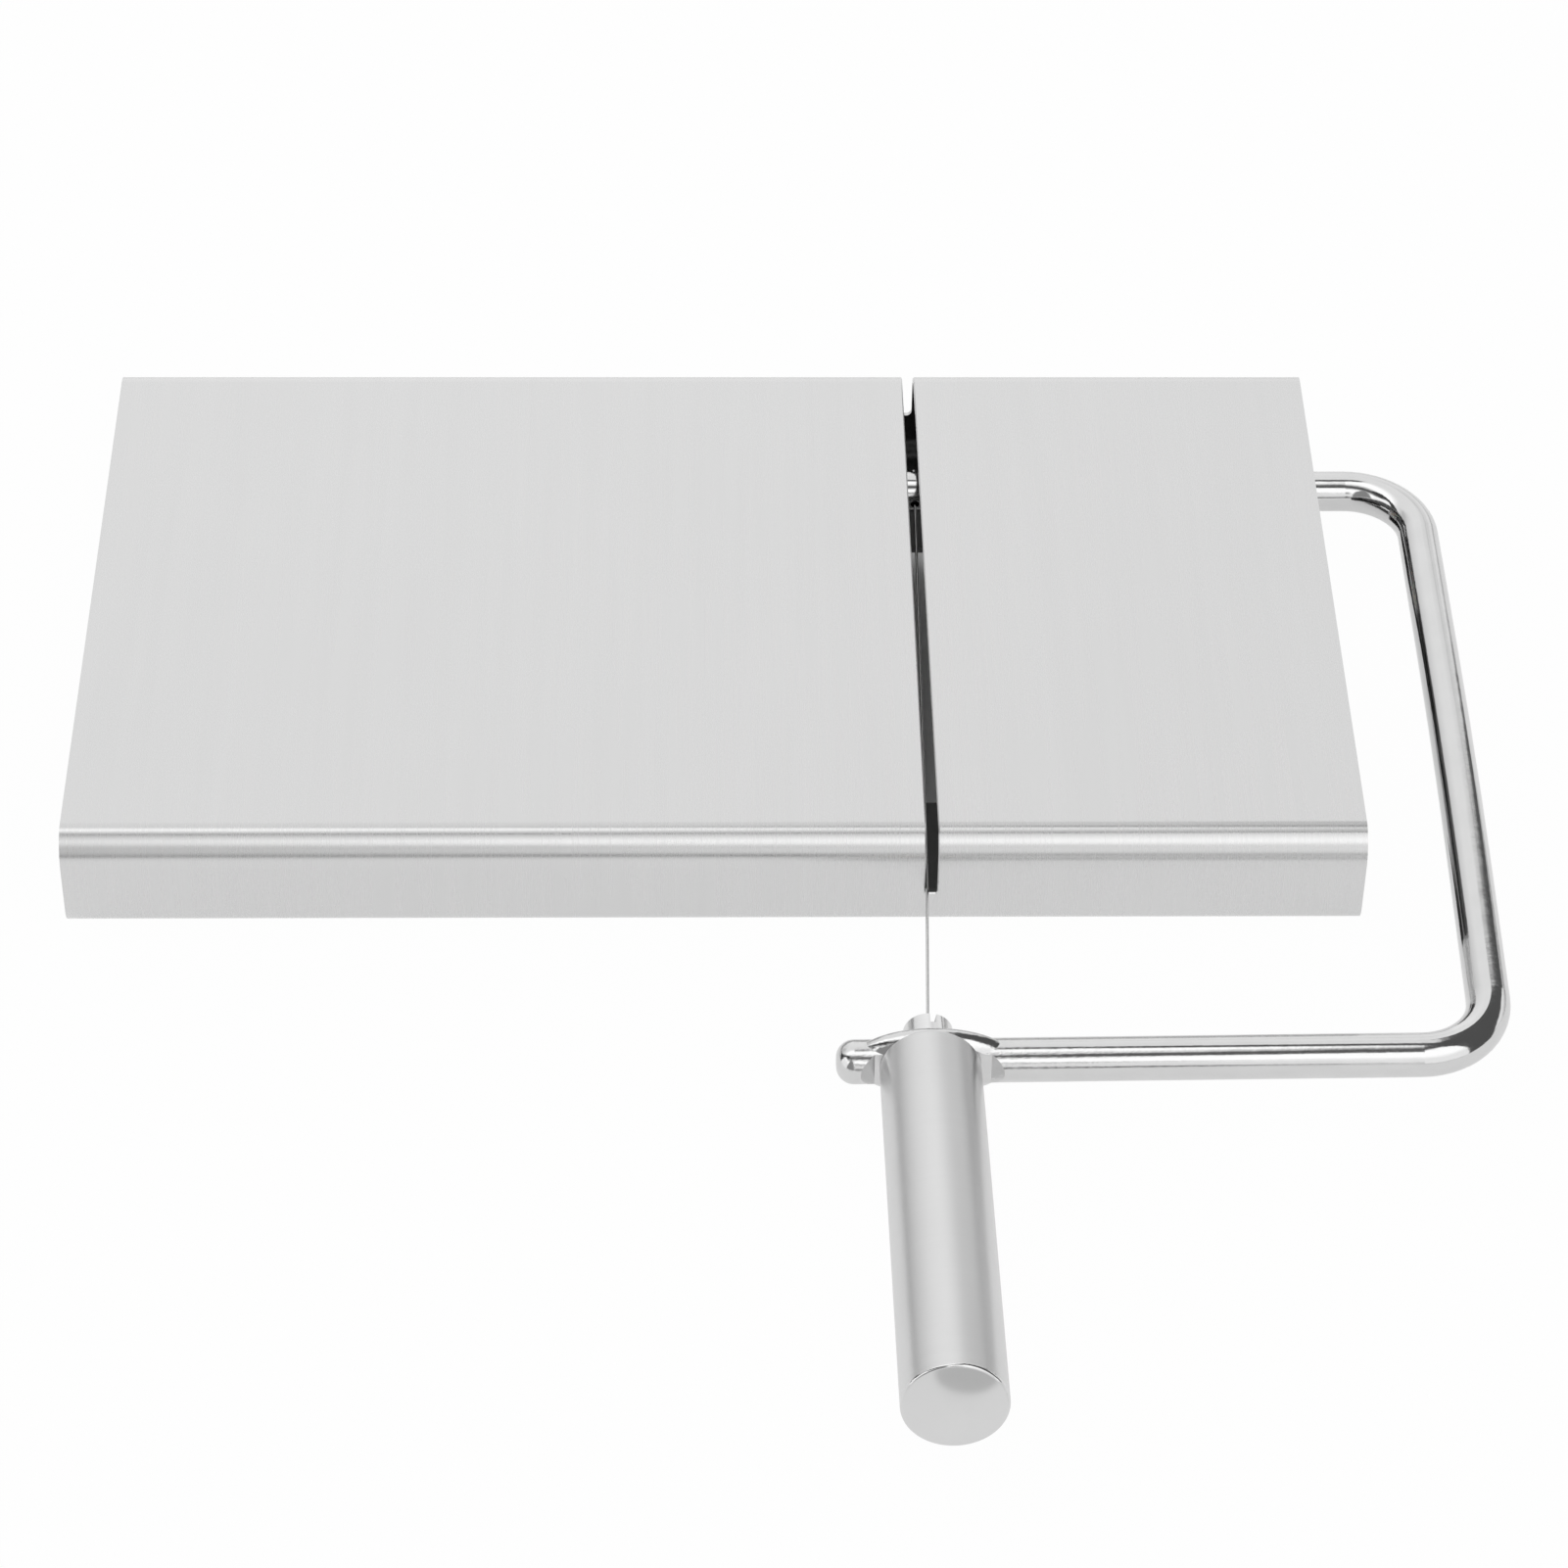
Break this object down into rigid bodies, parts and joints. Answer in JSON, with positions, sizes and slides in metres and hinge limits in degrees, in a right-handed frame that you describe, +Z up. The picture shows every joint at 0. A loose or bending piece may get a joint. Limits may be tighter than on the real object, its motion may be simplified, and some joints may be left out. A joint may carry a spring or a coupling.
{
  "type": "wire butter slicer",
  "caption": "Folded steel slicing board with a cross slot and a hinged rod arm that pulls a taut wire down through it, with a round handle that sets the wire's tension.",
  "frame": {"origin": "on the table, under the middle of the whole slicer with its arm down", "axes": "+Z up from the table, -Y toward the user and the handle, +X to the user's right, toward the arm's side run"},
  "size_m": [0.2316, 0.242, 0.0272],
  "materials": {
    "board_steel": "satin",
    "bracket_steel": "mill finish",
    "bush_nylon": "moulded",
    "foot_rubber": "matte",
    "rod_steel": "polished",
    "ring_steel": "spring steel",
    "screw_steel": "bright",
    "wire_steel": "drawn wire",
    "ferrule_steel": "crimped",
    "handle_steel": "brushed lengthwise",
    "insert_brass": "turned"
  },
  "bodies": {
    "board": {"board_shell": "board_steel", "hinge_bracket_inner": "bracket_steel", "hinge_bracket_outer": "bracket_steel", "rod_bush_inner": "bush_nylon", "rod_bush_outer": "bush_nylon", "foot_front_left": "foot_rubber", "foot_front_right": "foot_rubber", "foot_rear_left": "foot_rubber", "foot_rear_right": "foot_rubber"},
    "arm": {"arm_rod": "rod_steel", "retaining_ring_left": "ring_steel", "retaining_ring_right": "ring_steel"},
    "handle": {"handle_sleeve": "handle_steel", "handle_insert": "insert_brass"},
    "wire_and_screw": {"tension_screw": "screw_steel", "cutting_wire": "wire_steel", "wire_end_rear": "ferrule_steel", "wire_end_front": "ferrule_steel"}
  },
  "joints": [
    {"name": "arm_swing", "type": "hinge", "parent": "board", "child": "arm", "pos_m": [0.02407, 0.09528, 0.0142], "axis": [-1, 0, 0], "range_deg": [0, 180]},
    {"name": "handle_turn", "type": "hinge", "parent": "arm", "child": "handle", "pos_m": [0.02247, -0.04257, 0.011], "axis": [0.0067, -0.9943, 0.1063], "range_deg": [0, 720]},
    {"name": "tension_screw_slide", "type": "slide", "parent": "arm", "child": "wire_and_screw", "axis": [-0.0067, 0.9943, -0.1063], "range_m": [0, 0.0016]}
  ],
  "couplings": [
    {"joint": "tension_screw_slide", "follows": "handle_turn", "m_per_rad": 0.00012732}
  ]
}
